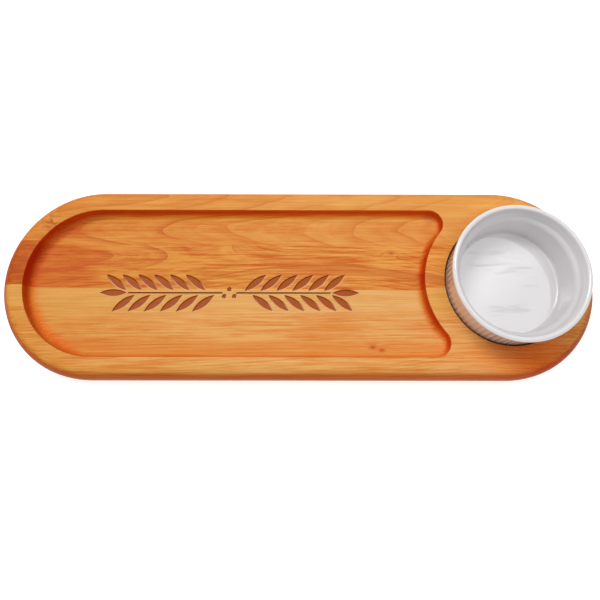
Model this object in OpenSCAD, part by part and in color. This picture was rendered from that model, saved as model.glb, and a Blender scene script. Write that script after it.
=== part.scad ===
// Chip and dip server: a long hardwood board, glued up edge to edge from three staves,
// with a routed chip tray and a round recess that holds a loose porcelain ramekin.
// Millimetres, +Z up. The origin is the centre of the board's underside, and +X points
// along the board to the ramekin. "Front" is -Y and "rear" is +Y.

/* [Board] */
// Length of the board, end to end
board_length = 508; // [480:1:560]
// Width of the board, and the diameter of its half-round ends
board_width = 163; // [155:1:180]
// Thickness of the board
board_thickness = 25; // [22:0.5:30]
// Radius of the rounding along the top and bottom edges
edge_radius = 10; // [4:0.5:10.5]

/* [Staves] */
// Distance of the rear glue line behind the centre, half way along the board
rear_seam_y = 34.2; // [25:0.1:45]
// Position of the front glue line, half way along the board
front_seam_y = -4.7; // [-20:0.1:10]
// Angle between the glue lines and the board's sides, in degrees
seam_skew = -0.35; // [-1:0.05:1]

/* [Chip tray] */
// Width of the tray at its mouth
tray_width = 127; // [110:1:130]
// Wood left between the tray and the board's plain end
tray_end_rim = 18.5; // [15:0.5:30]
// Depth of the tray
tray_depth = 13; // [10:0.5:14]
// Radius of the cove at the foot of the tray's wall
tray_cove = 7; // [3:0.5:8]
// Radius of the two corners beside the ramekin
horn_radius = 12; // [10:0.5:16]
// Radius of the wall that curves round the ramekin
divider_radius = 68.2; // [64:0.1:72]
// Wood left between the tray and the recess
divider_width = 16.9; // [14:0.1:20]

/* [Ramekin recess] */
// Distance of the recess's centre from the board's round end
recess_inset = 74.7; // [72:0.1:78]
// Diameter of the recess
recess_diameter = 108.8; // [108.4:0.1:110]
// Depth of the recess
recess_depth = 12; // [8:0.5:14]

/* [Ramekin] */
// Height of the ramekin
ramekin_height = 52.5; // [46:0.5:60]
// Outer diameter over the rolled lip
lip_diameter = 112; // [110:0.5:114]
// Thickness of the rolled lip
lip_thickness = 4.2; // [2.4:0.1:4.6]
// Diameter over the crests of the fluted wall
wall_diameter = 106.8; // [105:0.1:107]
// Height of the plain band under the lip
band_height = 5.9; // [4:0.1:10]
// Number of flutes round the wall
flute_count = 72; // [48:6:96]
// Depth of each flute
flute_depth = 0.5; // [0.4:0.1:1.2]
// Thickness of the floor
floor_thickness = 6; // [4:0.5:8]
// Radius between the inner wall and the floor
floor_fillet = 2.5; // [1.5:0.5:8]

/* [Carving] */
// Length of the pair of carved leaf sprays
spray_length = 226; // [160:2:230]
// Centre of the sprays along the board
spray_x = -60; // [-70:1:-55]
// Centre of the sprays across the board
spray_y = -8; // [-9:0.5:-7.5]
// Length of one leaf
leaf_length = 24; // [16:1:26]
// Width of one leaf
leaf_width = 6.6; // [4:0.2:8]
// Angle between a leaf and its stem, in degrees
leaf_angle = 38; // [25:1:45]
// Pairs of leaves on each spray
leaf_pairs = 6; // [3:1:6]
// Depth of the carving below the tray's floor
carving_depth = 1.2; // [0.6:0.1:2]

/* [Hidden] */
$fn = 96;
clear = 1;                                        // how far a cutter runs past a face
heartwood = "#c9783c";
sapwood = "#dda25c";
board_end_x = (board_length - board_width) / 2;   // centres of the half-round ends
tray_half = tray_width / 2;
tray_floor_z = board_thickness - tray_depth;
tray_end_x = -board_length / 2 + tray_end_rim + tray_half;
recess_x = board_length / 2 - recess_inset;
recess_floor_z = board_thickness - recess_depth;
divider_x = recess_x - recess_diameter / 2 - divider_width + divider_radius;
horn_y = tray_half - horn_radius;
arc_overlap = 0.1;                                // lets the two arcs cross instead of touch
horn_to_divider = divider_radius + horn_radius - arc_overlap;
horn_turn = asin(horn_y / horn_to_divider);       // where they meet, seen from either centre
horn_x = divider_x - horn_to_divider * cos(horn_turn);
core_reach = 0.8;                                 // how far the fill runs back from the divider's centre
lip_radius = lip_thickness / 2;
lip_centre_z = ramekin_height - lip_radius;
lip_bite = 0.3;                                   // how far the bore cuts into the lip's roll
lip_bore = lip_diameter / 2 - lip_thickness + lip_bite;
wall_radius = wall_diameter / 2;
band_proud = 1.6;                                 // how far the band stands out from the flutes
band_radius = wall_radius + band_proud;
band_z = lip_centre_z - band_height;
foot_height = 3;
foot_inset = 3.5;                                 // the wall draws in to the foot
foot_ledge = 0.4;                                 // small step between the foot and the flutes
foot_ring = 4;                                    // width of the unglazed ring it stands on
foot_hollow = 1;                                  // depth of the hollow inside that ring
inner_foot_radius = 45.5;                         // inner radius where the floor's fillet ends
shoulder_low = [46.6, 15];                        // radius, and depth below the top
shoulder_high = [49.8, 11.5];
flute_share = 0.9;                                // width of a flute's cutter in flute pitches
leaf_arc = (leaf_length * leaf_length + leaf_width * leaf_width) / (4 * leaf_width);
stem_width = 1.6;
spray_gap = 13;                                   // from the sprays' centre to the first leaves
spray_pitch = (spray_length / 2 - spray_gap - leaf_length) / (leaf_pairs - 0.5);
berry_radius = 2.2;
berry_offset = 3;                                 // of the berries from the sprays' line

// Half of the board's cross-section, from its middle out to one side
module board_section(half) {
    square([half - edge_radius, board_thickness]);
    translate([0, edge_radius]) square([half, board_thickness - 2 * edge_radius]);
    for (z = [edge_radius, board_thickness - edge_radius])
        translate([half - edge_radius, z]) circle(edge_radius);
}

// The whole board before it is routed
module board_blank() {
    for (turn = [0, 180])
        rotate(turn) translate([board_end_x, 0, 0])
            rotate_extrude(angle = 180, start = -90) board_section(board_width / 2);
    rotate([90, 0, 90]) linear_extrude(2 * board_end_x, center = true)
        for (side = [0, 1]) mirror([side, 0]) board_section(board_width / 2);
}

// Half of the tray's cross-section, from its middle out to a wall that stands on a cove
module trough_section(half) {
    square([half - tray_cove, tray_depth + clear]);
    translate([0, tray_cove]) square([half, tray_depth - tray_cove + clear]);
    intersection() {
        translate([half - tray_cove, tray_cove]) circle(tray_cove);
        square([half + clear, 2 * tray_cove]);
    }
}

// The wood that curves round the ramekin, with its foot flared out by the cove
module divider_core() {
    translate([divider_x, 0, -clear])
        rotate_extrude()
            difference() {
                square([divider_radius + tray_cove, tray_depth + 3 * clear]);
                translate([divider_radius + tray_cove, tray_cove + clear]) circle(tray_cove);
                translate([divider_radius, tray_cove + clear])
                    square([2 * tray_cove, tray_depth + 3 * clear]);
            }
}

// The hollow of the chip tray
module tray_cavity() {
    translate([0, 0, tray_floor_z]) difference() {
        union() {
            translate([tray_end_x, 0, 0]) rotate_extrude() trough_section(tray_half);
            translate([tray_end_x, 0, 0]) rotate([90, 0, 90])
                linear_extrude(horn_x - tray_end_x)
                    for (side = [0, 1]) mirror([side, 0]) trough_section(tray_half);
            for (side = [-1, 1]) translate([horn_x, side * horn_y, 0])
                rotate_extrude() trough_section(horn_radius);
            fill_x = divider_x + core_reach * (horn_x - divider_x);
            linear_extrude(tray_depth + clear)
                polygon([
                    [horn_x - horn_radius, horn_y], [horn_x, horn_y], [fill_x, core_reach * horn_y],
                    [fill_x, -core_reach * horn_y], [horn_x, -horn_y], [horn_x - horn_radius, -horn_y]
                ]);
        }
        divider_core();
    }
}

// The recess for the ramekin
module recess_cavity() {
    translate([recess_x, 0, recess_floor_z])
        cylinder(r = recess_diameter / 2, h = recess_depth + clear);
}

// One pointed leaf that grows along +X from the origin
module leaf() {
    intersection_for(side = [-1, 1])
        translate([leaf_length / 2, side * (leaf_arc - leaf_width / 2)]) circle(leaf_arc);
}

// One spray, growing along +X: a stem, pairs of leaves and a leaf at the tip
module spray() {
    translate([(spray_gap - stem_width) / 2, -stem_width / 2])
        square([(spray_length - spray_gap) / 2 - leaf_length, stem_width]);
    translate([spray_length / 2 - leaf_length, 0]) leaf();
    for (i = [0 : leaf_pairs - 1], side = [-1, 1])
        translate([spray_gap + (i + (side > 0 ? 0 : 0.5)) * spray_pitch, side * stem_width])
            rotate(side * leaf_angle) leaf();
}

// Two sprays that grow apart from three berries, cut into the tray's floor
module carving() {
    translate([spray_x, spray_y, tray_floor_z - carving_depth])
        linear_extrude(carving_depth + clear) {
            for (turn = [0, 180]) rotate(turn) spray();
            for (step = [-1, 0, 1])
                translate([step * 2 * berry_radius, (step == 0 ? 1 : -1) * berry_offset])
                    circle(berry_radius);
        }
}

// The routed and carved board between two glue lines
module stave(front_y, rear_y) {
    reach = board_length;
    drift = reach * tan(seam_skew);
    intersection() {
        difference() {
            board_blank();
            tray_cavity();
            recess_cavity();
            carving();
        }
        translate([0, 0, -clear]) linear_extrude(board_thickness + 2 * clear)
            polygon([
                [-reach, front_y - drift], [reach, front_y + drift],
                [reach, rear_y + drift], [-reach, rear_y - drift]
            ]);
    }
}

module rear_stave() {
    color(heartwood) stave(rear_seam_y, board_width);
}

module middle_stave() {
    color(heartwood) stave(front_seam_y, rear_seam_y);
}

module front_stave() {
    color(sapwood) stave(-board_width, front_seam_y);
}

// Outline of the fluted wall from above
module fluted_outline() {
    flute_pitch = 360 / flute_count;
    flute_radius = wall_radius * sin(flute_pitch / 2) * flute_share;
    difference() {
        circle(wall_radius);
        for (i = [0 : flute_count - 1]) rotate(i * flute_pitch)
            translate([wall_radius + flute_radius - flute_depth, 0]) circle(flute_radius);
    }
}

// Outside of the foot, and of the band and rolled lip, as sections to revolve
module foot_section() {
    difference() {
        polygon([
            [0, 0], [wall_radius - foot_inset, 0],
            [wall_radius - flute_depth - foot_ledge, foot_height], [0, foot_height]
        ]);
        square([wall_radius - foot_inset - foot_ring, foot_hollow]);
    }
}

module band_section() {
    translate([0, band_z]) square([band_radius, band_height]);
    translate([lip_diameter / 2 - lip_radius, lip_centre_z]) circle(lip_radius);
}

// Inside of the ramekin: floor, fillet, drafted wall, shoulder and mouth
module hollow_section() {
    fillet_x = inner_foot_radius - floor_fillet;
    fillet_z = floor_thickness + floor_fillet;
    polygon([
        [0, floor_thickness], [fillet_x, floor_thickness], [inner_foot_radius, fillet_z],
        [shoulder_low[0], ramekin_height - shoulder_low[1]],
        [shoulder_high[0], ramekin_height - shoulder_high[1]],
        [lip_bore, lip_centre_z], [lip_bore, ramekin_height + clear], [0, ramekin_height + clear]
    ]);
    translate([fillet_x, fillet_z]) circle(floor_fillet);
}

module ramekin() {
    color("white") translate([recess_x, 0, recess_floor_z]) difference() {
        union() {
            rotate_extrude() foot_section();
            translate([0, 0, foot_height]) linear_extrude(band_z - foot_height) fluted_outline();
            rotate_extrude() band_section();
        }
        rotate_extrude() hollow_section();
    }
}

rear_stave();
middle_stave();
front_stave();
ramekin();
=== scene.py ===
"""Looks of the chip and dip server: three oiled hardwood staves and a glazed porcelain ramekin.

Lengths are millimetres in the frame of the CAD, as in its own source, and turn into metres
where a mesh or the camera is made. The floor and the lights are given in metres. +X runs along
the board to the ramekin, -Y is the front and +Z is up. Colours are linear red, green and blue.
"""

import math
from collections import namedtuple

import bmesh
import bpy
from mathutils import Matrix, Vector


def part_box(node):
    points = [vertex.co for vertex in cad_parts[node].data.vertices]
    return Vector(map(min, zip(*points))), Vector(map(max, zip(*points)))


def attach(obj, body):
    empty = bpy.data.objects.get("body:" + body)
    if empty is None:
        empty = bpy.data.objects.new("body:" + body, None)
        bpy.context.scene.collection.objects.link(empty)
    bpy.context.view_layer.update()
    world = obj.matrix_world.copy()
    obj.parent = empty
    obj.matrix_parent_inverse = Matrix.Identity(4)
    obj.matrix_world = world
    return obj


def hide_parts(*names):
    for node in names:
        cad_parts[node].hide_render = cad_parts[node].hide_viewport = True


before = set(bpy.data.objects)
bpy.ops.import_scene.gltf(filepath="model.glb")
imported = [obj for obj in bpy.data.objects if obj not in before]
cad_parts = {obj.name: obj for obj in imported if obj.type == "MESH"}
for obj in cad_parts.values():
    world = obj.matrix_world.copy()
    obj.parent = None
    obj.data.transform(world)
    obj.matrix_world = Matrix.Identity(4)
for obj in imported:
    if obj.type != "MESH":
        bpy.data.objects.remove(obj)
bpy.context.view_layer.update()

MM = 0.001

# The board, read from the frame
STAVES = ("rear_stave", "middle_stave", "front_stave")
board_corner = Vector(map(max, *[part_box(node)[1] for node in STAVES])) / MM
LENGTH = board_corner.x * 2
HALF_WIDTH = board_corner.y
TOP_Z = board_corner.z
END_X = LENGTH / 2 - HALF_WIDTH

# The rest repeats the driving dimensions of the CAD
EDGE_RADIUS = 10
REAR_SEAM_Y = 34.2
FRONT_SEAM_Y = -4.7
SEAM_SKEW = -0.35
TRAY_HALF = 63.5
TRAY_END_RIM = 18.5
TRAY_DEPTH = 13
TRAY_COVE = 7
HORN_RADIUS = 12
DIVIDER_RADIUS = 68.2
DIVIDER_WIDTH = 16.9
RECESS_RADIUS = 54.4
RECESS_DEPTH = 12
RECESS_INSET = 74.7
SPRAY_CENTRE = (-60, -8)
SPRAY_LENGTH = 226
SPRAY_GAP = 13
LEAF_LENGTH = 24
LEAF_WIDTH = 6.6
LEAF_ANGLE = 38
LEAF_PAIRS = 6
STEM_WIDTH = 1.6
BERRY_RADIUS = 2.2
BERRY_OFFSET = 3
CARVING_DEPTH = 1.2

SEAM_SLOPE = math.tan(math.radians(SEAM_SKEW))
FLOOR_Z = TOP_Z - TRAY_DEPTH
RECESS_Z = TOP_Z - RECESS_DEPTH
RECESS_X = LENGTH / 2 - RECESS_INSET
TRAY_END_X = -LENGTH / 2 + TRAY_END_RIM + TRAY_HALF
DIVIDER_X = RECESS_X - RECESS_RADIUS - DIVIDER_WIDTH + DIVIDER_RADIUS
HORN_Y = TRAY_HALF - HORN_RADIUS
HORN_TURN = math.degrees(math.asin(HORN_Y / (DIVIDER_RADIUS + HORN_RADIUS)))
HORN_X = DIVIDER_X - (DIVIDER_RADIUS + HORN_RADIUS) * math.cos(math.radians(HORN_TURN))

# Softened corners that the CAD leaves sharp, and the sloped sides of the carving
MOUTH_ARRIS = 0.7
RECESS_ARRIS = 0.3
CARVING_ARRIS = 0.2
CARVING_SLOPE = 0.85
STEM_SLOPE = 0.5

# The ramekin: heights are above its own foot, and corners are (radius, height)
RAMEKIN_HEIGHT = 52.5
LIP_RADIUS = 2.1
LIP_OUTER = 56
BAND_RADIUS = 55
BAND_Z = 44.5
WALL_RADIUS = 53.4
FLUTE_COUNT = 72
FLUTE_DEPTH = 0.5
FOOT_RADIUS = 49.9
FOOT_HEIGHT = 3
FOOT_RING = 4
FOOT_HOLLOW = 1
DISH_FLOOR_Z = 6
DISH_FILLET = 2.5
DISH_FLOOR_RADIUS = 43
DISH_FLOOR_RING = 20
SHOULDER_LOW = (46.6, 37.5)
SHOULDER_HIGH = (49.8, 41)
MOUTH = (51.8, 50)

# The heights between which the flutes deepen, and those between which they end
FLUTE_FOOT = (2.2, 6)
FLUTE_TOP = (BAND_Z - 3.4, BAND_Z - 1.4)

# Steps round the half-round ends, the other outlines, the arcs of the profiles and each flute
END_STEPS = 72
HORN_STEPS = 24
DIVIDER_STEPS = 48
RECESS_STEPS = 120
LEAF_STEPS = 14
STEM_STEPS = 6
BERRY_STEPS = 20
EDGE_STEPS = 12
COVE_STEPS = 10
ARRIS_STEPS = 4
FLUTE_STEPS = 8

# One step round the corners of the ramekin's profile
DEGREES_PER_STEP = 9

# Normals this close to an axis belong to a flat face, and edges sharper than these angles, in
# degrees, are shaded as edges
FLAT = 0.9999
WOOD_SHARP = 32
GLAZE_SHARP = 60


# ---------------------------------------------------------------- outlines

def arc(centre, radius, start, end, steps):
    """Points on an arc, both ends included; angles in degrees."""
    turns = [math.radians(start + (end - start) * i / steps) for i in range(steps + 1)]
    return [(centre[0] + radius * math.cos(t), centre[1] + radius * math.sin(t)) for t in turns]


def board_outline(inset):
    """The board from above, moved in by inset: two half-round ends and straight sides."""
    radius = HALF_WIDTH - inset
    return arc((END_X, 0), radius, -90, 90, END_STEPS) + arc((-END_X, 0), radius, 90, 270, END_STEPS)


def tray_outline(inset):
    """The tray's wall, moved in from the mouth by inset: round end, two horns and the divider."""
    horn = HORN_RADIUS - inset
    start, end = 180 + HORN_TURN, 180 - HORN_TURN
    divider = arc((DIVIDER_X, 0), DIVIDER_RADIUS + inset, start, end, DIVIDER_STEPS)
    return (
        arc((TRAY_END_X, 0), TRAY_HALF - inset, 90, 270, END_STEPS)
        + arc((HORN_X, -HORN_Y), horn, -90, HORN_TURN, HORN_STEPS)
        + divider[1:-1]
        + arc((HORN_X, HORN_Y), horn, -HORN_TURN, 90, HORN_STEPS)
    )


def recess_outline(inset):
    """The circle of the recess, moved in by inset."""
    return arc((RECESS_X, 0), RECESS_RADIUS - inset, 0, 360, RECESS_STEPS)[:-1]


def placed(points, position, turn):
    """Outline points turned by an angle in degrees, then moved."""
    c, s = math.cos(math.radians(turn)), math.sin(math.radians(turn))
    return [(position[0] + c * x - s * y, position[1] + s * x + c * y) for x, y in points]


def leaf_outline(inset):
    """A pointed leaf along +X from the origin: two arcs that cross."""
    arc_radius = (LEAF_LENGTH**2 + LEAF_WIDTH**2) / (4 * LEAF_WIDTH)
    offset = arc_radius - LEAF_WIDTH / 2
    radius = arc_radius - inset
    tip = math.degrees(math.acos(offset / radius))
    middle = LEAF_LENGTH / 2
    near = arc((middle, offset), radius, 270 - tip, 270 + tip, LEAF_STEPS)
    far = arc((middle, -offset), radius, 90 - tip, 90 + tip, LEAF_STEPS)
    return near[:-1] + far[:-1]


def stem_outline(inset):
    """A stem along +X with a round end."""
    start = SPRAY_GAP / 2
    end = SPRAY_LENGTH / 2 - LEAF_LENGTH - STEM_WIDTH
    half = STEM_WIDTH / 2 - inset
    near = arc((start, 0), half, 90, 270, STEM_STEPS)
    return near + arc((end, 0), half, -90, 90, STEM_STEPS)


def berry_outline(inset):
    """A berry round the origin, moved in by inset."""
    return arc((0, 0), BERRY_RADIUS - inset, 0, 360, BERRY_STEPS)[:-1]


def carving_outlines():
    """The slope of its sides, and its outline as a function of the inset, for each shape."""
    pitch = (SPRAY_LENGTH / 2 - SPRAY_GAP - LEAF_LENGTH) / (LEAF_PAIRS - 0.5)
    shapes = []

    def add(outline, position=(0, 0), turn=0, half_turn=0):
        slope = STEM_SLOPE if outline is stem_outline else CARVING_SLOPE
        shapes.append((slope, lambda inset: placed(
            placed(outline(inset), position, turn), SPRAY_CENTRE, half_turn
        )))

    for half_turn in (0, 180):
        add(stem_outline, half_turn=half_turn)
        add(leaf_outline, (SPRAY_LENGTH / 2 - LEAF_LENGTH, 0), 0, half_turn)
        for side in (-1, 1):
            for i in range(LEAF_PAIRS):
                x = SPRAY_GAP + (i + (0 if side > 0 else 0.5)) * pitch
                add(leaf_outline, (x, side * STEM_WIDTH), side * LEAF_ANGLE, half_turn)
    for step in (-1, 0, 1):
        add(berry_outline, (2 * step * BERRY_RADIUS, BERRY_OFFSET if step == 0 else -BERRY_OFFSET))
    return shapes


# ---------------------------------------------------------------- profiles

def board_profile():
    """(inset, height) down the rounded edge."""
    r = EDGE_RADIUS
    upper = arc((r, TOP_Z - r), r, 90, 180, EDGE_STEPS)
    return upper + arc((r, r), r, 180, 270, EDGE_STEPS)


def tray_profile():
    """(inset, height) over the mouth's arris, down the wall and round the cove."""
    a, r = MOUTH_ARRIS, TRAY_COVE
    top = arc((-a, TOP_Z - a), a, 90, 0, ARRIS_STEPS)
    return top + arc((r, FLOOR_Z + r), r, 180, 270, COVE_STEPS)


def recess_profile():
    """(inset, height) over the mouth's arris and straight down the wall."""
    a = RECESS_ARRIS
    return arc((-a, TOP_Z - a), a, 90, 0, ARRIS_STEPS) + [(0, RECESS_Z)]


def carving_profile(slope):
    """(inset, height) over a softened arris and down a sloped side."""
    a = CARVING_ARRIS
    top = arc((-a, FLOOR_Z - a), a, 90, 30, 2)
    return top + [(slope, FLOOR_Z - CARVING_DEPTH)]


# ---------------------------------------------------------------- the board's mesh

def loft(bm, outline, profile):
    """Walls through the profile's rings. Returns the edges of the first and last rings."""
    rings = [[bm.verts.new((x, y, z)) for x, y in outline(inset)] for inset, z in profile]
    for upper, lower in zip(rings, rings[1:]):
        for i in range(len(upper)):
            bm.faces.new((upper[i - 1], upper[i], lower[i], lower[i - 1])).smooth = True
    return [
        [bm.edges.get((ring[i - 1], ring[i])) for i in range(len(ring))]
        for ring in (rings[0], rings[-1])
    ]


def fill(bm, *loops, up=1):
    """A flat face inside the first loop and outside the others, in triangles."""
    edges = [edge for loop in loops for edge in loop]
    bmesh.ops.triangle_fill(bm, edges=edges, use_beauty=True, normal=(0, 0, up))


def make_board():
    """The routed and carved board as one closed mesh."""
    bm = bmesh.new()
    rim, underside = loft(bm, board_outline, board_profile())
    tray_mouth, tray_floor = loft(bm, tray_outline, tray_profile())
    recess_mouth, recess_floor = loft(bm, recess_outline, recess_profile())
    fill(bm, rim, tray_mouth, recess_mouth)
    fill(bm, underside, up=-1)
    fill(bm, recess_floor)
    carved = []
    for slope, outline in carving_outlines():
        carved_mouth, carved_floor = loft(bm, outline, carving_profile(slope))
        fill(bm, carved_floor)
        carved.append(carved_mouth)
    fill(bm, tray_floor, *carved)
    bmesh.ops.recalc_face_normals(bm, faces=bm.faces)
    return bm


def seam_cut(bm, seam_y, keep_rear):
    """Cuts the mesh at a glue line, keeps one side and closes it."""
    normal = Vector((-SEAM_SLOPE, 1, 0)).normalized()
    bmesh.ops.bisect_plane(
        bm,
        geom=bm.verts[:] + bm.edges[:] + bm.faces[:],
        plane_co=(0, seam_y, 0),
        plane_no=normal,
        clear_inner=keep_rear,
        clear_outer=not keep_rear,
    )
    rim = [edge for edge in bm.edges if edge.is_boundary]
    bmesh.ops.triangle_fill(bm, edges=rim, use_beauty=True, normal=normal)


def finish_piece(bm, node, finish, body, material, sharp_degrees):
    """Turns a mesh in millimetres into a named piece that replaces its CAD node."""
    bmesh.ops.recalc_face_normals(bm, faces=bm.faces)
    for face in bm.faces:
        level = abs(face.normal.z) > FLAT
        glued = abs(face.normal.y) > FLAT and len(face.verts) == 3
        face.smooth = not (level or glued)
    bmesh.ops.scale(bm, vec=(MM, MM, MM), verts=bm.verts)
    mesh = bpy.data.meshes.new(node + "_" + finish)
    bm.to_mesh(mesh)
    bm.free()
    mesh.set_sharp_from_angle(angle=math.radians(sharp_degrees))
    mesh.materials.append(material)
    piece = bpy.data.objects.new(mesh.name, mesh)
    bpy.context.scene.collection.objects.link(piece)
    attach(piece, body)
    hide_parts(node)


def make_stave(board, node, material, front=None, rear=None):
    """One stave: the board between a front and a rear glue line, where it has them."""
    bm = board.copy()
    if front is not None:
        seam_cut(bm, front, keep_rear=True)
    if rear is not None:
        seam_cut(bm, rear, keep_rear=False)
    finish_piece(bm, node, "wood", "board", material, WOOD_SHARP)


# ---------------------------------------------------------------- the ramekin's mesh

def rounded(points):
    """A profile through corners given as (radius, height, rounding), each turned into an arc."""
    path = []
    for i, (r, z, rounding) in enumerate(points):
        here = Vector((r, z))
        if rounding == 0:
            path.append(tuple(here))
            continue
        back = (Vector(points[i - 1][:2]) - here).normalized()
        ahead = (Vector(points[i + 1][:2]) - here).normalized()
        half = back.angle(ahead) / 2
        reach = rounding / math.tan(half)
        centre = here + (back + ahead).normalized() * (rounding / math.sin(half))
        first, last = here + back * reach, here + ahead * reach
        turn = (first - centre).angle_signed(last - centre)
        steps = max(2, round(abs(math.degrees(turn)) / DEGREES_PER_STEP))
        for k in range(steps + 1):
            spoke = Vector(first - centre)
            spoke.rotate(Matrix.Rotation(-turn * k / steps, 2))
            path.append(tuple(centre + spoke))
    return path


def smoothstep(low, high, value):
    """0 below low, 1 above high, and a smooth rise between them."""
    t = min(1, max(0, (value - low) / (high - low)))
    return t * t * (3 - 2 * t)


LIP_CENTRE = (LIP_OUTER - LIP_RADIUS, RAMEKIN_HEIGHT - LIP_RADIUS)


def outer_profile():
    """Outside of the ramekin, from the foot ring up to the top of the lip."""
    foot_inner = FOOT_RADIUS - FOOT_RING
    low = rounded([
        (0, FOOT_HOLLOW, 0),
        (foot_inner - 1, FOOT_HOLLOW, 0.8),
        (foot_inner, 0, 0.5),
        (FOOT_RADIUS, 0, 1),
        (WALL_RADIUS - FLUTE_DEPTH - 0.2, FOOT_HEIGHT, 2),
        (WALL_RADIUS, 2 * FOOT_HEIGHT, 4),
        (WALL_RADIUS, BAND_Z - 1.2, 1),
        (BAND_RADIUS, BAND_Z, 0.7),
        (BAND_RADIUS, LIP_CENTRE[1] - 1.4, 0.8),
        (LIP_OUTER - 0.25, LIP_CENTRE[1] - 0.9, 0),
    ])
    return low + arc(LIP_CENTRE, LIP_RADIUS, -20, 90, 9)


def inner_profile():
    """Inside of the ramekin, from the top of the lip down to the middle of the floor."""
    fillet_z = DISH_FLOOR_Z + DISH_FILLET
    wall = rounded([
        (*MOUTH, 0),
        (*SHOULDER_HIGH, 5),
        (*SHOULDER_LOW, 7.5),
        (DISH_FLOOR_RADIUS + DISH_FILLET, fillet_z, 0),
    ])
    fillet = arc((DISH_FLOOR_RADIUS, fillet_z), DISH_FILLET, 0, -90, 10)
    return (
        arc(LIP_CENTRE, LIP_RADIUS, 90, 170, 7)[1:]
        + wall[1:-1]
        + fillet
        + [(DISH_FLOOR_RING, DISH_FLOOR_Z), (0, DISH_FLOOR_Z)]
    )


def flute(turn, z):
    """How far the fluted wall is drawn in at an angle and a height above the foot."""
    fade = smoothstep(*FLUTE_FOOT, z) * (1 - smoothstep(*FLUTE_TOP, z))
    wave = 0.5 - 0.5 * math.cos(turn * FLUTE_COUNT)
    return FLUTE_DEPTH * fade * wave


def ramekin_ring(bm, radius, z, fluted):
    """The points at one height of the profile, or the single point on the axis."""
    if radius == 0:
        return [bm.verts.new((RECESS_X, 0, RECESS_Z + z))]
    steps = FLUTE_COUNT * FLUTE_STEPS
    ring = []
    for k in range(steps):
        turn = 2 * math.pi * k / steps
        r = radius - (flute(turn, z) if fluted else 0)
        ring.append(bm.verts.new((
            RECESS_X + r * math.cos(turn), r * math.sin(turn), RECESS_Z + z
        )))
    return ring


def ring_faces(bm, low, high):
    """Joins two rings, where a ring on the axis is a single point."""
    steps = max(len(low), len(high))
    for k in range(steps):
        after = (k + 1) % steps
        if len(low) == 1:
            corners = (low[0], high[after], high[k])
        elif len(high) == 1:
            corners = (low[k], low[after], high[0])
        else:
            corners = (low[k], low[after], high[after], high[k])
        bm.faces.new(corners)


def make_ramekin():
    """Turns the profile round the recess's axis, with the flutes in its outside only."""
    bm = bmesh.new()
    rings = [ramekin_ring(bm, radius, z, fluted=True) for radius, z in outer_profile()]
    rings += [ramekin_ring(bm, radius, z, fluted=False) for radius, z in inner_profile()]
    for low, high in zip(rings, rings[1:]):
        ring_faces(bm, low, high)
    return bm


# ---------------------------------------------------------------- material nodes

class Field:
    """A number that a material's nodes work out, with ordinary arithmetic."""

    def __init__(self, graph, socket):
        self.graph = graph
        self.socket = socket

    def __add__(self, other):
        return self.graph.math("ADD", self, other)

    def __sub__(self, other):
        return self.graph.math("SUBTRACT", self, other)

    def __rsub__(self, other):
        return self.graph.math("SUBTRACT", other, self)

    def __mul__(self, other):
        return self.graph.math("MULTIPLY", self, other)

    def __truediv__(self, other):
        return self.graph.math("DIVIDE", self, other)

    def __pow__(self, other):
        return self.graph.math("POWER", self, other)

    __rmul__ = __mul__

    def root(self):
        return self.graph.math("SQRT", self)

    def size(self):
        return self.graph.math("ABSOLUTE", self)

    def clamp(self):
        return self.graph.ramp(self, 0, 1, smooth=False)


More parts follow.
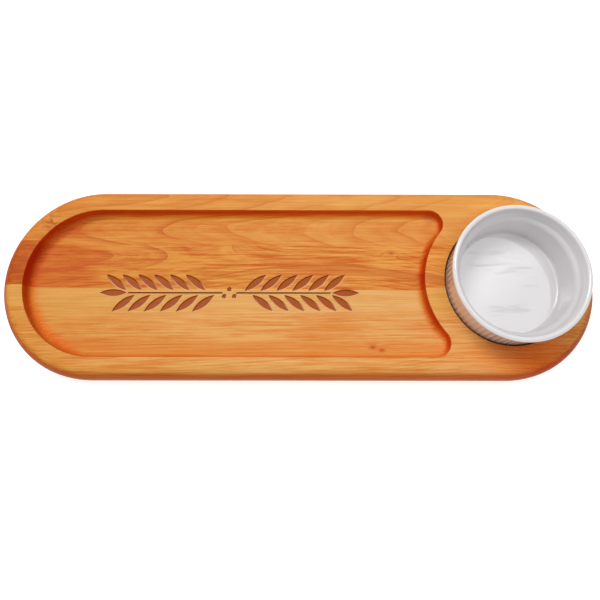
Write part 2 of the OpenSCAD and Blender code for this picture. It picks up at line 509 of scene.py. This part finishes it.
class Graph:
    """Adds nodes to a new material."""

    def __init__(self, name):
        self.material = bpy.data.materials.new(name)
        self.material.use_nodes = True
        self.tree = self.material.node_tree
        self.shader = self.tree.nodes["Principled BSDF"]

    def node(self, kind, **settings):
        """Adds a shader node with its settings."""
        made = self.tree.nodes.new("ShaderNode" + kind)
        for key, value in settings.items():
            setattr(made, key, value)
        return made

    def put(self, socket, value):
        """Links a field or a socket, or sets a plain value."""
        if isinstance(value, Field):
            value = value.socket
        if isinstance(value, bpy.types.NodeSocket):
            self.tree.links.new(value, socket)
        else:
            socket.default_value = value

    def math(self, operation, *values):
        """One arithmetic step on fields or plain numbers."""
        made = self.node("Math", operation=operation)
        for socket, value in zip(made.inputs, values):
            self.put(socket, value)
        return Field(self, made.outputs[0])

    def position(self):
        """x, y and z in millimetres, fixed to the piece."""
        split = self.node("SeparateXYZ")
        self.put(split.inputs[0], self.node("TexCoord").outputs["Object"])
        return [Field(self, out) * (1 / MM) for out in split.outputs]

    def normal(self):
        """x, y and z of the surface's direction, fixed to the piece."""
        split = self.node("SeparateXYZ")
        self.put(split.inputs[0], self.node("TexCoord").outputs["Normal"])
        return [Field(self, out) for out in split.outputs]

    def noise(self, x, y, z, detail=2, roughness=0.5):
        """Smooth noise from 0 to 1 at a point given in noise cells."""
        point = self.node("CombineXYZ")
        for socket, value in zip(point.inputs, (x, y, z)):
            self.put(socket, value)
        made = self.node("TexNoise")
        self.put(made.inputs["Vector"], point.outputs[0])
        made.inputs["Scale"].default_value = 1
        made.inputs["Detail"].default_value = detail
        made.inputs["Roughness"].default_value = roughness
        return Field(self, made.outputs["Fac"])

    def ramp(self, value, low, high, start=0, end=1, smooth=True):
        """Carries low..high to start..end, held at both ends."""
        made = self.node("MapRange", clamp=True)
        made.interpolation_type = "SMOOTHSTEP" if smooth else "LINEAR"
        for socket, setting in zip(made.inputs, (value, low, high, start, end)):
            self.put(socket, setting)
        return Field(self, made.outputs[0])

    def mix(self, first, second, factor, blend="MIX"):
        """One colour over another."""
        made = self.node("Mix", data_type="RGBA", blend_type=blend)
        self.put(made.inputs["Factor"], factor)
        for socket, colour in zip(made.inputs[6:8], (first, second)):
            self.put(socket, (*colour, 1) if isinstance(colour, tuple) else colour)
        return made.outputs[2]

    def bump(self, height, distance):
        """Normals of a relief that is distance millimetres deep per unit of height."""
        made = self.node("Bump")
        made.inputs["Distance"].default_value = distance * MM
        self.put(made.inputs["Height"], height)
        return made.outputs["Normal"]


# ---------------------------------------------------------------- wood

# A stave's colours between its growth rings, in its deep streaks and on the rings' lines,
# and how close and how strong its marks are
Look = namedtuple("Look", "pale deep line streak_pitch ring_strength fibre_strength")
HEART = Look(
    pale=(0.82, 0.385, 0.082), deep=(0.69, 0.180, 0.016), line=(0.60, 0.110, 0.004),
    streak_pitch=4.5, ring_strength=1.0, fibre_strength=2.5,
)
REDDER = Look(
    pale=(0.84, 0.390, 0.078), deep=(0.63, 0.140, 0.010), line=(0.54, 0.088, 0.004),
    streak_pitch=4.5, ring_strength=0.9, fibre_strength=3.8,
)
PALER = Look(
    pale=(0.84, 0.465, 0.155), deep=(0.74, 0.250, 0.033), line=(0.56, 0.13, 0.012),
    streak_pitch=2.0, ring_strength=0.75, fibre_strength=3.5,
)

# Stains, and painted shade and painted light, which multiply the wood's own colour
PLAIN_END_DEEPER = (0.92, 0.83, 0.54)
THREAD = (0.95, 0.82, 0.66)
# painted shade on the routed walls of the tray
ROUTED_WALL_SHADE = (0.95, 0.31, 0.035)
# painted shade on the outer rounded edge
ROUNDED_EDGE_SHADE = (0.67, 0.355, 0.13)
# painted shade on the divider's wall
DIVIDER_WALL_SHADE = (0.84, 0.62, 0.35)
END_GRAIN = (0.86, 0.70, 0.55)
# painted shade in the coves at the foot of the tray's end walls
PLAIN_END_COVE_SHADE = (1.04, 0.69, 0.34)
DISH_END_COVE_SHADE = (0.92, 0.64, 0.36)
# painted light at the foot of the rear wall
REAR_FOOT_LIGHT = (1.22, 1.42, 1.25)
# painted shade on the wood beside the ramekin
RAMEKIN_SHADE_ON_REAR = (0.92, 0.84, 0.82)
PLAIN_END = (1.05, 0.88, 0.5)
PLAIN_END_RIM = (1.0, 0.95, 0.4)
# deeper, redder swirl grain with painted shade of the ramekin's shadow
FRONT_SWIRL_AND_SHADE = (0.97, 0.45, 0.11)
RIM_BY_DIVIDER = (0.98, 0.905, 0.66)

# The carving's stained floor, and its sides from a painted highlight where they face the rear left
# to painted shade where they don't
CARVING_FLOOR = ((0.45, 0.098, 0.008), (0.33, 0.062, 0.004))
CARVING_SIDES_LIT_AND_SHADED = ((0.90, 0.62, 0.38), (0.16, 0.035, 0.004))

# Marks that belong to one stave
PALE_REAR = (0.86, 0.455, 0.13)
BURL = (0.50, 0.085, 0.008)
RED_PATCH = (0.54, 0.110, 0.010)
RED_RIM = (0.50, 0.090, 0.002)
RED_BAND = (0.60, 0.150, 0.020)
HUMP_LINE = (0.52, 0.095, 0.008)
KNOT = (0.46, 0.075, 0.010)
SAPWOOD = (0.83, 0.50, 0.175)
FRONT_ORANGE = (0.73, 0.26, 0.032)
FRONT_KNOTS = (0.58, 0.085, 0.008)

WOOD_SPECULAR = 0.165
WOOD_RELIEF = 0.06

# Where each pith lies, as (y, depth below the tray's floor), and how close the rings are
REAR_PITH = (49, 30)
MIDDLE_PITH = (24, 26)
RINGS_PER_MM = 0.2
MIDDLE_KNOT = (82, 28)


def bell(g, x, y, centre, spread):
    """A smooth hump of height 1 round a point of the board, seen from above."""
    dx = (x - centre[0]) / spread[0]
    dy = (y - centre[1]) / spread[1]
    return g.math("EXPONENT", (dx * dx + dy * dy) * -1)


def rear_rings(g, x, y, z):
    """Growth rings round a pith that rises to the right: arches that open to the right."""
    # the arches stand closer together towards the ramekin
    along = (x + 201) * 0.0137 + (x + 201) * (x + 55) * 2.2e-5
    depth = (z - FLOOR_Z) + REAR_PITH[1]
    across = y - REAR_PITH[0] + 6 * (g.noise(x * 0.012, 3.1, 0.0) - 0.5)
    from_pith = (depth * depth + across * across).root()
    return along - (from_pith - REAR_PITH[1]) * RINGS_PER_MM


def hump(x):
    """How far back the long lines of the middle stave run, along the board."""
    return (x - 19) * (x - 19) * -0.0012 + 17


def middle_rings(g, x, y, z):
    """Arches that open to the left, then long lines over a low hump."""
    depth = (z - FLOOR_Z) + MIDDLE_PITH[1]
    across = y - MIDDLE_PITH[0]
    arches = (depth * depth + across * across).root() * RINGS_PER_MM + x * 0.0189
    lines = (hump(x) - y) * 0.19 + (z - FLOOR_Z) * 0.12 + 4.0
    side = g.ramp(x, -95, 5)
    knot = bell(g, x, y, MIDDLE_KNOT, (7, 3.5)) * 1.6
    return arches * (1 - side) + lines * side + knot


def front_rings(g, x, y, z):
    """Nearly straight lines that part round two small knots and swirl beside the ramekin."""
    height = z - FLOOR_Z
    lean = y - x * 0.018 + height * 0.55 - height * x * 0.0045
    knots = bell(g, x, y, (62.5, -53.4), (9, 3)) * 2.6 + bell(g, x, y, (69.5, -57), (9, 3)) * -2.6
    crest = bell(g, x, y, (78, -70), (30, 6)) * 2.2
    swirl = bell(g, x, y, (203, -64), (27, 24)) * 14
    return (lean + knots + crest + swirl) * 0.40


def grain(g, x, y, z, rings, look):
    """Colour and relief of bare wood, with its streaks and pores as fields from 0 to 1."""
    wander = g.noise(x * 0.014, y * 0.05, z * 0.05, detail=2) - 0.5
    ring = rings(g, x, y, z) + wander * 0.7
    fraction = g.math("FRACT", ring)
    latewood = fraction**7
    strength = g.ramp(g.noise(x * 0.016, y * 0.05, ring * 0.9), 0.36, 0.62)

    # fine lines inside the rings follow the same lie of the wood
    streaks = g.noise(x * 0.014, ring * look.streak_pitch, z * 0.1, detail=4, roughness=0.7)
    fibres = g.noise(x * 0.022, y * 0.55, z * 0.55, detail=4, roughness=0.75)
    mottle = g.noise(x * 0.020, y * 0.075, z * 0.075, detail=4, roughness=0.6)
    pores = g.ramp(g.noise(x * 0.22, y * 2.6, z * 2.6, detail=1), 0.68, 0.78)

    tone = g.ramp(mottle, 0.30, 0.70) * 0.50 + fraction**2 * 0.25 * look.ring_strength
    tone = tone + (streaks - 0.5) * 1.1 + (fibres - 0.5) * look.fibre_strength + 0.10
    colour = g.mix(look.pale, look.deep, tone.clamp())
    lines = (latewood * strength * look.ring_strength * 0.75).clamp()
    colour = g.mix(colour, look.line, lines)
    relief = latewood * -0.35 + fibres * 0.3 - pores * 0.8
    return colour, relief, streaks, pores


def steepness(g, nz):
    """0 on level faces, 1 on walls."""
    return g.ramp(nz.size(), 1.0, 0.45)


def shaded_sides_and_end_grain(g, colour, x, y, z):
    """Painted shade on the routed walls, the rounded outer edge and the divider's wall; end grain is
    deeper in colour.
    """
    nx, ny, nz = g.normal()
    beyond = g.math("MAXIMUM", x.size() - END_X, 0)
    from_spine = (beyond * beyond + y * y).root()
    routed = g.ramp(from_spine, HALF_WIDTH - EDGE_RADIUS + 2, HALF_WIDTH - EDGE_RADIUS)
    steep = steepness(g, nz)
    # painted shade on the tray's walls, weaker on its front wall, which faces the rear
    wall_shade_by_facing = g.ramp(ny, 0.15, 0.6, 1, 0.55)
    colour = g.mix(colour, ROUTED_WALL_SHADE, steep * routed * wall_shade_by_facing, blend="MULTIPLY")
    # painted shade on the outer rounded edge, strongest at the front
    front_edge_shade = g.ramp(y, 50, 10, 0.35, 1) * g.ramp(nz.size(), 0, 0.4, 0.6, 1)
    rounding = g.ramp(nz.size(), 1.0, 0.72) * (1 - routed)
    colour = g.mix(colour, ROUNDED_EDGE_SHADE, rounding * front_edge_shade, blend="MULTIPLY")
    colour = cove_shade_and_light(g, colour, x, y, z, from_spine)
    # painted shade on the divider's wall
    divider = routed * steep * g.ramp(x, 100, 112) * g.ramp(y.size(), 45, 30)
    colour = g.mix(colour, DIVIDER_WALL_SHADE, divider, blend="MULTIPLY")
    return g.mix(colour, END_GRAIN, g.ramp(nx.size(), 0.55, 1.0), blend="MULTIPLY")


def cove_shade_and_light(g, colour, x, y, z, from_spine):
    """Painted shade, deep orange, in the coves at the foot of the tray's end walls, and painted
    light that lifts the shade at the foot of the rear wall.
    """
    inside = g.ramp(from_spine, TRAY_HALF + 2, TRAY_HALF) * g.ramp(z, FLOOR_Z - 3, FLOOR_Z - 2)
    low = g.ramp(z, FLOOR_Z + 4, FLOOR_Z + 1.5) * inside
    # painted shade in the cove at the plain end
    plain_end_cove_shade = g.ramp(from_spine, TRAY_HALF - 12, TRAY_HALF - 5) * g.ramp(x, -178, -205)
    colour = g.mix(colour, PLAIN_END_COVE_SHADE, plain_end_cove_shade * low, blend="MULTIPLY")
    # painted shade in the cove at the foot of the divider
    dx = x - DIVIDER_X
    from_divider = (dx * dx + y * y).root() - DIVIDER_RADIUS
    dish_end_cove_shade = g.ramp(from_divider, 7.5, 2.5) * g.ramp(from_divider, -2, -0.5)
    dish_end_cove_shade = dish_end_cove_shade * g.ramp(y.size(), HORN_Y, HORN_Y - 14)
    colour = g.mix(colour, DISH_END_COVE_SHADE, dish_end_cove_shade * low, blend="MULTIPLY")
    # painted light that lifts the shade in the cove at the foot of the rear wall
    middle = g.ramp(x, -190, -150) * g.ramp(x, HORN_X + 4, HORN_X - 8)
    rear = g.ramp(y, TRAY_HALF - 7.5, TRAY_HALF - 5) * g.ramp(y, TRAY_HALF, TRAY_HALF - 1)
    cove = g.ramp(z, FLOOR_Z + 9, FLOOR_Z + 6) * inside
    return g.mix(colour, REAR_FOOT_LIGHT, rear * middle * cove, blend="MULTIPLY")


def carving_stain_and_shade(g, colour, x, y, z, streaks):
    """A brown floor to the carving, and sides with a painted highlight towards the rear left and
    painted shade on the others.
    """
    nx, ny, nz = g.normal()
    carving_z = FLOOR_Z - CARVING_DEPTH
    above = g.ramp(z, carving_z - 0.3, carving_z - 0.1)
    beside_x = (x - SPRAY_CENTRE[0]).size() - SPRAY_LENGTH / 2
    beside_y = (y - SPRAY_CENTRE[1]).size() - LEAF_LENGTH
    near_spray = g.ramp(g.math("MAXIMUM", beside_x, beside_y), 2, 1) * above
    bottom = g.ramp(z, FLOOR_Z - CARVING_DEPTH * 0.75, FLOOR_Z - CARVING_DEPTH * 0.95)
    # painted highlight on the carving's sides that face the rear left, painted shade on the others
    side = g.ramp(z, FLOOR_Z - 0.03, FLOOR_Z - 0.15) * near_spray * steepness(g, nz)
    away_from_light = g.ramp(ny * 0.8 - nx * 0.6, 0.1, -0.2)
    colour = g.mix(colour, g.mix(*CARVING_SIDES_LIT_AND_SHADED, away_from_light), side)
    return g.mix(colour, g.mix(*CARVING_FLOOR, streaks), bottom * near_spray * (1 - side))


def wood(name, rings, look, tint):
    """Oiled hardwood. rings numbers the growth rings, and tint adds the stave's broad marks."""
    g = Graph(name)
    x, y, z = g.position()
    colour, relief, streaks, pores = grain(g, x, y, z, rings, look)
    colour = tint(g, colour, x, y, z)

    # the board is deeper in colour towards its plain end, and fine threads run all along it
    colour = g.mix(colour, PLAIN_END_DEEPER, g.ramp(x, 40, -230), blend="MULTIPLY")
    threads = g.noise(x * 0.010, y * 1.1, z * 1.1, detail=3, roughness=0.7)
    colour = g.mix(colour, THREAD, g.ramp(threads, 0.42, 0.62), blend="MULTIPLY")
    colour = g.mix(colour, look.line, pores * 0.25)

    colour = shaded_sides_and_end_grain(g, colour, x, y, z)
    colour = carving_stain_and_shade(g, colour, x, y, z, streaks)
    g.put(g.shader.inputs["Base Color"], colour)
    g.put(g.shader.inputs["Roughness"], g.ramp(streaks + pores * 0.3, 0.2, 0.9, 0.46, 0.60))
    g.shader.inputs["Specular IOR Level"].default_value = WOOD_SPECULAR
    g.put(g.shader.inputs["Normal"], g.bump(relief, WOOD_RELIEF))
    return g.material


def rear_tint(g, colour, x, y, z):
    """Paler near the top and towards the ramekin, with painted shade beside the ramekin and a small
    burl by the plain end.
    """
    paler = g.ramp(z, TOP_Z - 4, TOP_Z - 1, 0, 0.22) + g.ramp(x, -60, 40, 0, 0.20)
    colour = g.mix(colour, PALE_REAR, paler)
    # painted shade on the rear stave beside the ramekin
    ramekin_shade = bell(g, x, y, (142, 44), (32, 20))
    colour = g.mix(colour, RAMEKIN_SHADE_ON_REAR, ramekin_shade, blend="MULTIPLY")
    curls = g.ramp(g.noise(x * 0.22, y * 0.5, z * 0.3, detail=3), 0.42, 0.62)
    burl = bell(g, x, y, (-217, 52), (9, 7)) * curls
    return g.mix(colour, BURL, (burl * 0.9).clamp())


def middle_tint(g, colour, x, y, z):
    """A redder patch and rim by the plain end, a red band under the hump, and a knot."""
    patch = g.ramp(x + g.noise(x * 0.03, y * 0.12, 0.0) * 60, -120, -175)
    colour = g.mix(colour, RED_PATCH, patch * 0.4)
    colour = g.mix(colour, PLAIN_END, patch, blend="MULTIPLY")
    rim = g.ramp(x, -215, -236) * g.ramp(z, TOP_Z - 2, TOP_Z - 1)
    rim_grain = g.ramp(g.noise(x * 0.04, y * 0.3, z * 0.3, detail=3), 0.35, 0.62)
    colour = g.mix(colour, RED_RIM, rim * (rim_grain * 0.6 + 0.25))
    colour = g.mix(colour, PLAIN_END_RIM, rim, blend="MULTIPLY")
    below = hump(x) - y
    band = g.ramp(below, -0.5, 1.5) * g.ramp(below, 11, 5) * g.ramp(x, -60, 20)
    colour = g.mix(colour, RED_BAND, band * 0.55)
    crest = g.ramp(below, -1.2, 0) * g.ramp(below, 1.5, 0.2) * g.ramp(x, -110, -60)
    colour = g.mix(colour, HUMP_LINE, crest * 0.55)
    knot = bell(g, x, y, MIDDLE_KNOT, (3.2, 1.6))
    return g.mix(colour, KNOT, knot * 0.7)


def front_tint(g, colour, x, y, z):
    """Pale and yellow at the glue line, more orange towards the front, with two small knots. By the
    front corner it is deeper and redder: partly the swirl's grain, partly painted shade of the
    ramekin's shadow.
    """
    ragged = y + (g.noise(x * 0.01, y * 0.05, 0.0) - 0.5) * 8
    sap = g.ramp(ragged, -34, -16)
    colour = g.mix(colour, SAPWOOD, sap * 0.6)
    orange = g.ramp(ragged, -44, -58) * g.ramp(z, TOP_Z - 1, TOP_Z - 6)
    colour = g.mix(colour, FRONT_ORANGE, orange * 0.6)
    # the swirl's deeper grain, and painted shade where the ramekin's shadow falls
    swirl_and_shade = bell(g, x, y, (198, -65), (44, 21))
    colour = g.mix(colour, FRONT_SWIRL_AND_SHADE, swirl_and_shade, blend="MULTIPLY")
    strip = g.ramp(z, TOP_Z - 1, TOP_Z - 0.5) * g.ramp(y, -34, -22) * g.ramp(x, 60, 90)
    colour = g.mix(colour, RIM_BY_DIVIDER, strip, blend="MULTIPLY")
    knots = bell(g, x, y, (63, -54), (3.2, 2.0)) + bell(g, x, y, (70.5, -56.5), (2.8, 1.8))
    return g.mix(colour, FRONT_KNOTS, (knots * 0.95).clamp())


# ---------------------------------------------------------------- porcelain

GLAZE = ((0.81, 0.785, 0.795), (0.79, 0.765, 0.77))
SPECK = (0.55, 0.52, 0.48)
# painted reflection and bounce light of the wood on the outer wall
WOOD_BOUNCE_OUTSIDE = (0.71, 0.52, 0.39)
# painted shade and painted light on the dish's floor and inner wall
DISH_FLOOR = ((0.645, 0.63, 0.635), (0.80, 0.785, 0.79))
DISH_FLOOR_LEFT_LIGHT = (0.88, 0.87, 0.875)
DISH_WALL_SHADE = (0.88, 0.88, 0.88)
DISH_WALL_LIGHT = (0.90, 0.88, 0.885)
# painted highlight on the fillet round the dish's floor
FILLET_HIGHLIGHT = (0.87, 0.86, 0.87)
BISCUIT = ((0.62, 0.58, 0.52), (0.52, 0.47, 0.41))
GLAZE_IOR = 1.5
GLAZE_COAT = 0.1
GLAZE_COAT_ROUGHNESS = 0.05
GLAZE_RELIEF = 0.35


def dish_light_and_shade(g, glaze, along, across, wall, on_floor):
    """Glaze on the floor and inner wall, with painted light towards the rear left and painted shade
    to the front right.
    """
    diagonal = across - along
    # painted shade to the front right of the floor, painted light to its rear left
    floor_light_and_shade = g.mix(*DISH_FLOOR, g.ramp(diagonal, -42, 42))
    floor_light_and_shade = g.mix(floor_light_and_shade, DISH_FLOOR_LEFT_LIGHT, g.ramp(along, -24, -42))
    glaze = g.mix(glaze, floor_light_and_shade, on_floor)
    frontwards = g.ramp(across - along * 0.35, 0, -50)
    glaze = g.mix(glaze, DISH_WALL_SHADE, wall * frontwards, blend="MULTIPLY")
    return g.mix(glaze, DISH_WALL_LIGHT, wall * g.ramp(diagonal, 20, 60))


def porcelain():
    """White glaze, a little uneven, with painted light, shade, highlight and reflection, over a body
    that is bare on the foot ring.
    """
    g = Graph("glazed_porcelain")
    x, y, z = g.position()
    nz = g.normal()[2]
    along = x - RECESS_X
    height = z - RECESS_Z
    from_axis = (along * along + y * y).root()

    tone = g.noise(x * 0.05, y * 0.05, z * 0.05, detail=2)
    specks = g.ramp(g.noise(x * 0.9, y * 0.9, z * 0.9, detail=1), 0.80, 0.84)
    glaze = g.mix(*GLAZE, tone)
    glaze = g.mix(glaze, SPECK, specks * 0.25)

    # painted reflection and bounce light of the wood, with painted shade: the outer wall is warmer
    # and darker where it faces the tray
    outside = g.ramp(from_axis, WALL_RADIUS - 3, WALL_RADIUS - 2)
    under_lip = g.ramp(height, BAND_Z + 5, BAND_Z)
    towards_tray = g.ramp(along + y, 45, -15)
    glaze = g.mix(glaze, WOOD_BOUNCE_OUTSIDE, outside * under_lip * towards_tray * 0.75)

    on_floor = g.ramp(height, DISH_FLOOR_Z + 3, DISH_FLOOR_Z + 0.5) * g.ramp(nz, 0.2, 0.8)
    wall = (1 - outside) * (1 - on_floor) * g.ramp(height, BAND_Z + 2, BAND_Z)
    glaze = dish_light_and_shade(g, glaze, along, y, wall, on_floor)
    # painted highlight on the fillet round the floor
    ring = g.ramp((from_axis - DISH_FLOOR_RADIUS - 0.4).size(), 0.9, 0.3)
    low = g.ramp(height, DISH_FLOOR_Z + 3, DISH_FLOOR_Z + 2)
    glaze = g.mix(glaze, FILLET_HIGHLIGHT, ring * low * 0.45)

    bare = g.ramp(height, 0.9, 0.3) * g.ramp(nz, -0.3, -0.7)
    grit = g.noise(x * 2.5, y * 2.5, z * 2.5, detail=3)
    g.put(g.shader.inputs["Base Color"], g.mix(glaze, g.mix(*BISCUIT, grit), bare))
    g.put(g.shader.inputs["Roughness"], bare * 0.6 + wall * 0.2 + tone * 0.04 + 0.02)
    g.shader.inputs["IOR"].default_value = GLAZE_IOR
    g.shader.inputs["Coat Weight"].default_value = GLAZE_COAT
    g.shader.inputs["Coat Roughness"].default_value = GLAZE_COAT_ROUGHNESS
    swell = g.noise(x * 0.018, y * 0.085, z * 0.05, detail=2, roughness=0.4)
    relief = swell * (1 - bare) + grit * bare * 0.2
    g.put(g.shader.inputs["Normal"], g.bump(relief, GLAZE_RELIEF))
    return g.material


# ---------------------------------------------------------------- pieces

board_mesh = make_board()
make_stave(
    board_mesh, "rear_stave",
    wood("rear_wood", rear_rings, HEART, rear_tint),
    front=REAR_SEAM_Y,
)
make_stave(
    board_mesh, "middle_stave",
    wood("middle_wood", middle_rings, REDDER, middle_tint),
    front=FRONT_SEAM_Y, rear=REAR_SEAM_Y,
)
make_stave(
    board_mesh, "front_stave",
    wood("front_wood", front_rings, PALER, front_tint),
    rear=FRONT_SEAM_Y,
)
board_mesh.free()
finish_piece(make_ramekin(), "ramekin", "glaze", "ramekin", porcelain(), GLAZE_SHARP)


# ---------------------------------------------------------------- floor, light and camera

WHITE = (1, 1, 1, 1)

# Metres and watts; the floor glows a little, so that it shows as white as paper
FLOOR_RADIUS = 6
FLOOR_SIDES = 64
FLOOR_GREY = ((0.72, 0.72, 0.72), (0.70, 0.70, 0.70))
FLOOR_ROUGHNESS = 0.9
FLOOR_GLOW = 0.7
KEY_POSITION = (-1.1, 1.35, 3.2)
KEY_SIZE = (1.2, 1.2)
KEY_POWER = 66
WINDOW_X = 0.54
WINDOW_Y = 0.535
WINDOW_HEIGHT = 2.6
WINDOW_PITCH = 0.305
WINDOW_SIZE = (1.18, 0.25)
WINDOW_POWER = 2.6
WINDOW_COUNT = 4
ROOM_LIGHT = 0.41

# Angles in degrees; aim, distance, sensor and lens in millimetres; shift as a share of the
# sensor; the near limit in metres
CAMERA_PITCH, CAMERA_YAW, CAMERA_ROLL = 18.785, 0.168, -0.073
CAMERA_AIM = (1.03, 73.18, TOP_Z)
CAMERA_DISTANCE = 599.98
CAMERA_SENSOR = 36
CAMERA_LENS = 40.48
CAMERA_SHIFT_Y = -0.1667
CAMERA_NEAR = 0.01


def floor():
    """A plain pale floor, far larger than the view."""
    bm = bmesh.new()
    rim = arc((0, 0), FLOOR_RADIUS, 0, 360, FLOOR_SIDES)[:-1]
    bm.faces.new([bm.verts.new((x, y, 0)) for x, y in rim])
    mesh = bpy.data.meshes.new("floor")
    bm.to_mesh(mesh)
    bm.free()
    g = Graph("pale_floor")
    x, y = g.position()[:2]
    shade = g.noise(x * 0.004, y * 0.004, 0.0)
    g.put(g.shader.inputs["Base Color"], g.mix(*FLOOR_GREY, shade))
    g.shader.inputs["Roughness"].default_value = FLOOR_ROUGHNESS
    g.shader.inputs["Emission Color"].default_value = WHITE
    g.shader.inputs["Emission Strength"].default_value = FLOOR_GLOW
    mesh.materials.append(g.material)
    piece = bpy.data.objects.new("floor", mesh)
    bpy.context.scene.collection.objects.link(piece)


def lamp(name, position, target, size, power):
    """A rectangular soft box that faces its target."""
    light = bpy.data.lights.new(name, "AREA")
    light.shape = "RECTANGLE"
    light.size, light.size_y = size
    light.energy = power
    made = bpy.data.objects.new(name, light)
    bpy.context.scene.collection.objects.link(made)
    made.location = position
    made.rotation_euler = (Vector(target) - Vector(position)).to_track_quat("-Z", "Y").to_euler()


def lights():
    """A key light from the rear left, a row of roof windows over the ramekin, and a pale room."""
    lamp("key", KEY_POSITION, (0, 0, 0), KEY_SIZE, KEY_POWER)
    for pane in range(WINDOW_COUNT):
        y = WINDOW_Y - WINDOW_PITCH * pane
        below = (WINDOW_X, y, 0)
        position = (WINDOW_X, y, WINDOW_HEIGHT)
        lamp("roof_window_%d" % pane, position, below, WINDOW_SIZE, WINDOW_POWER)
    world = bpy.data.worlds.new("soft_room")
    world.use_nodes = True
    background = world.node_tree.nodes["Background"]
    background.inputs["Color"].default_value = WHITE
    background.inputs["Strength"].default_value = ROOM_LIGHT
    bpy.context.scene.world = world


def camera():
    """Looks down at the board from in front, a little left of its middle."""
    pitch, yaw, roll = map(math.radians, (CAMERA_PITCH, CAMERA_YAW, CAMERA_ROLL))
    turn = (
        Matrix.Rotation(-yaw, 3, "Y") @ Matrix.Rotation(pitch, 3, "X")
        @ Matrix.Rotation(-roll, 3, "Z")
    )
    data = bpy.data.cameras.new("camera")
    data.sensor_width = CAMERA_SENSOR
    data.lens = CAMERA_LENS
    data.shift_y = CAMERA_SHIFT_Y
    data.clip_start = CAMERA_NEAR
    made = bpy.data.objects.new("camera", data)
    bpy.context.scene.collection.objects.link(made)
    position = (Vector(CAMERA_AIM) + turn @ Vector((0, 0, CAMERA_DISTANCE))) * MM
    made.matrix_world = Matrix.Translation(position) @ turn.to_4x4()
    bpy.context.scene.camera = made


floor()
lights()
camera()
bpy.context.scene.view_settings.view_transform = "Standard"
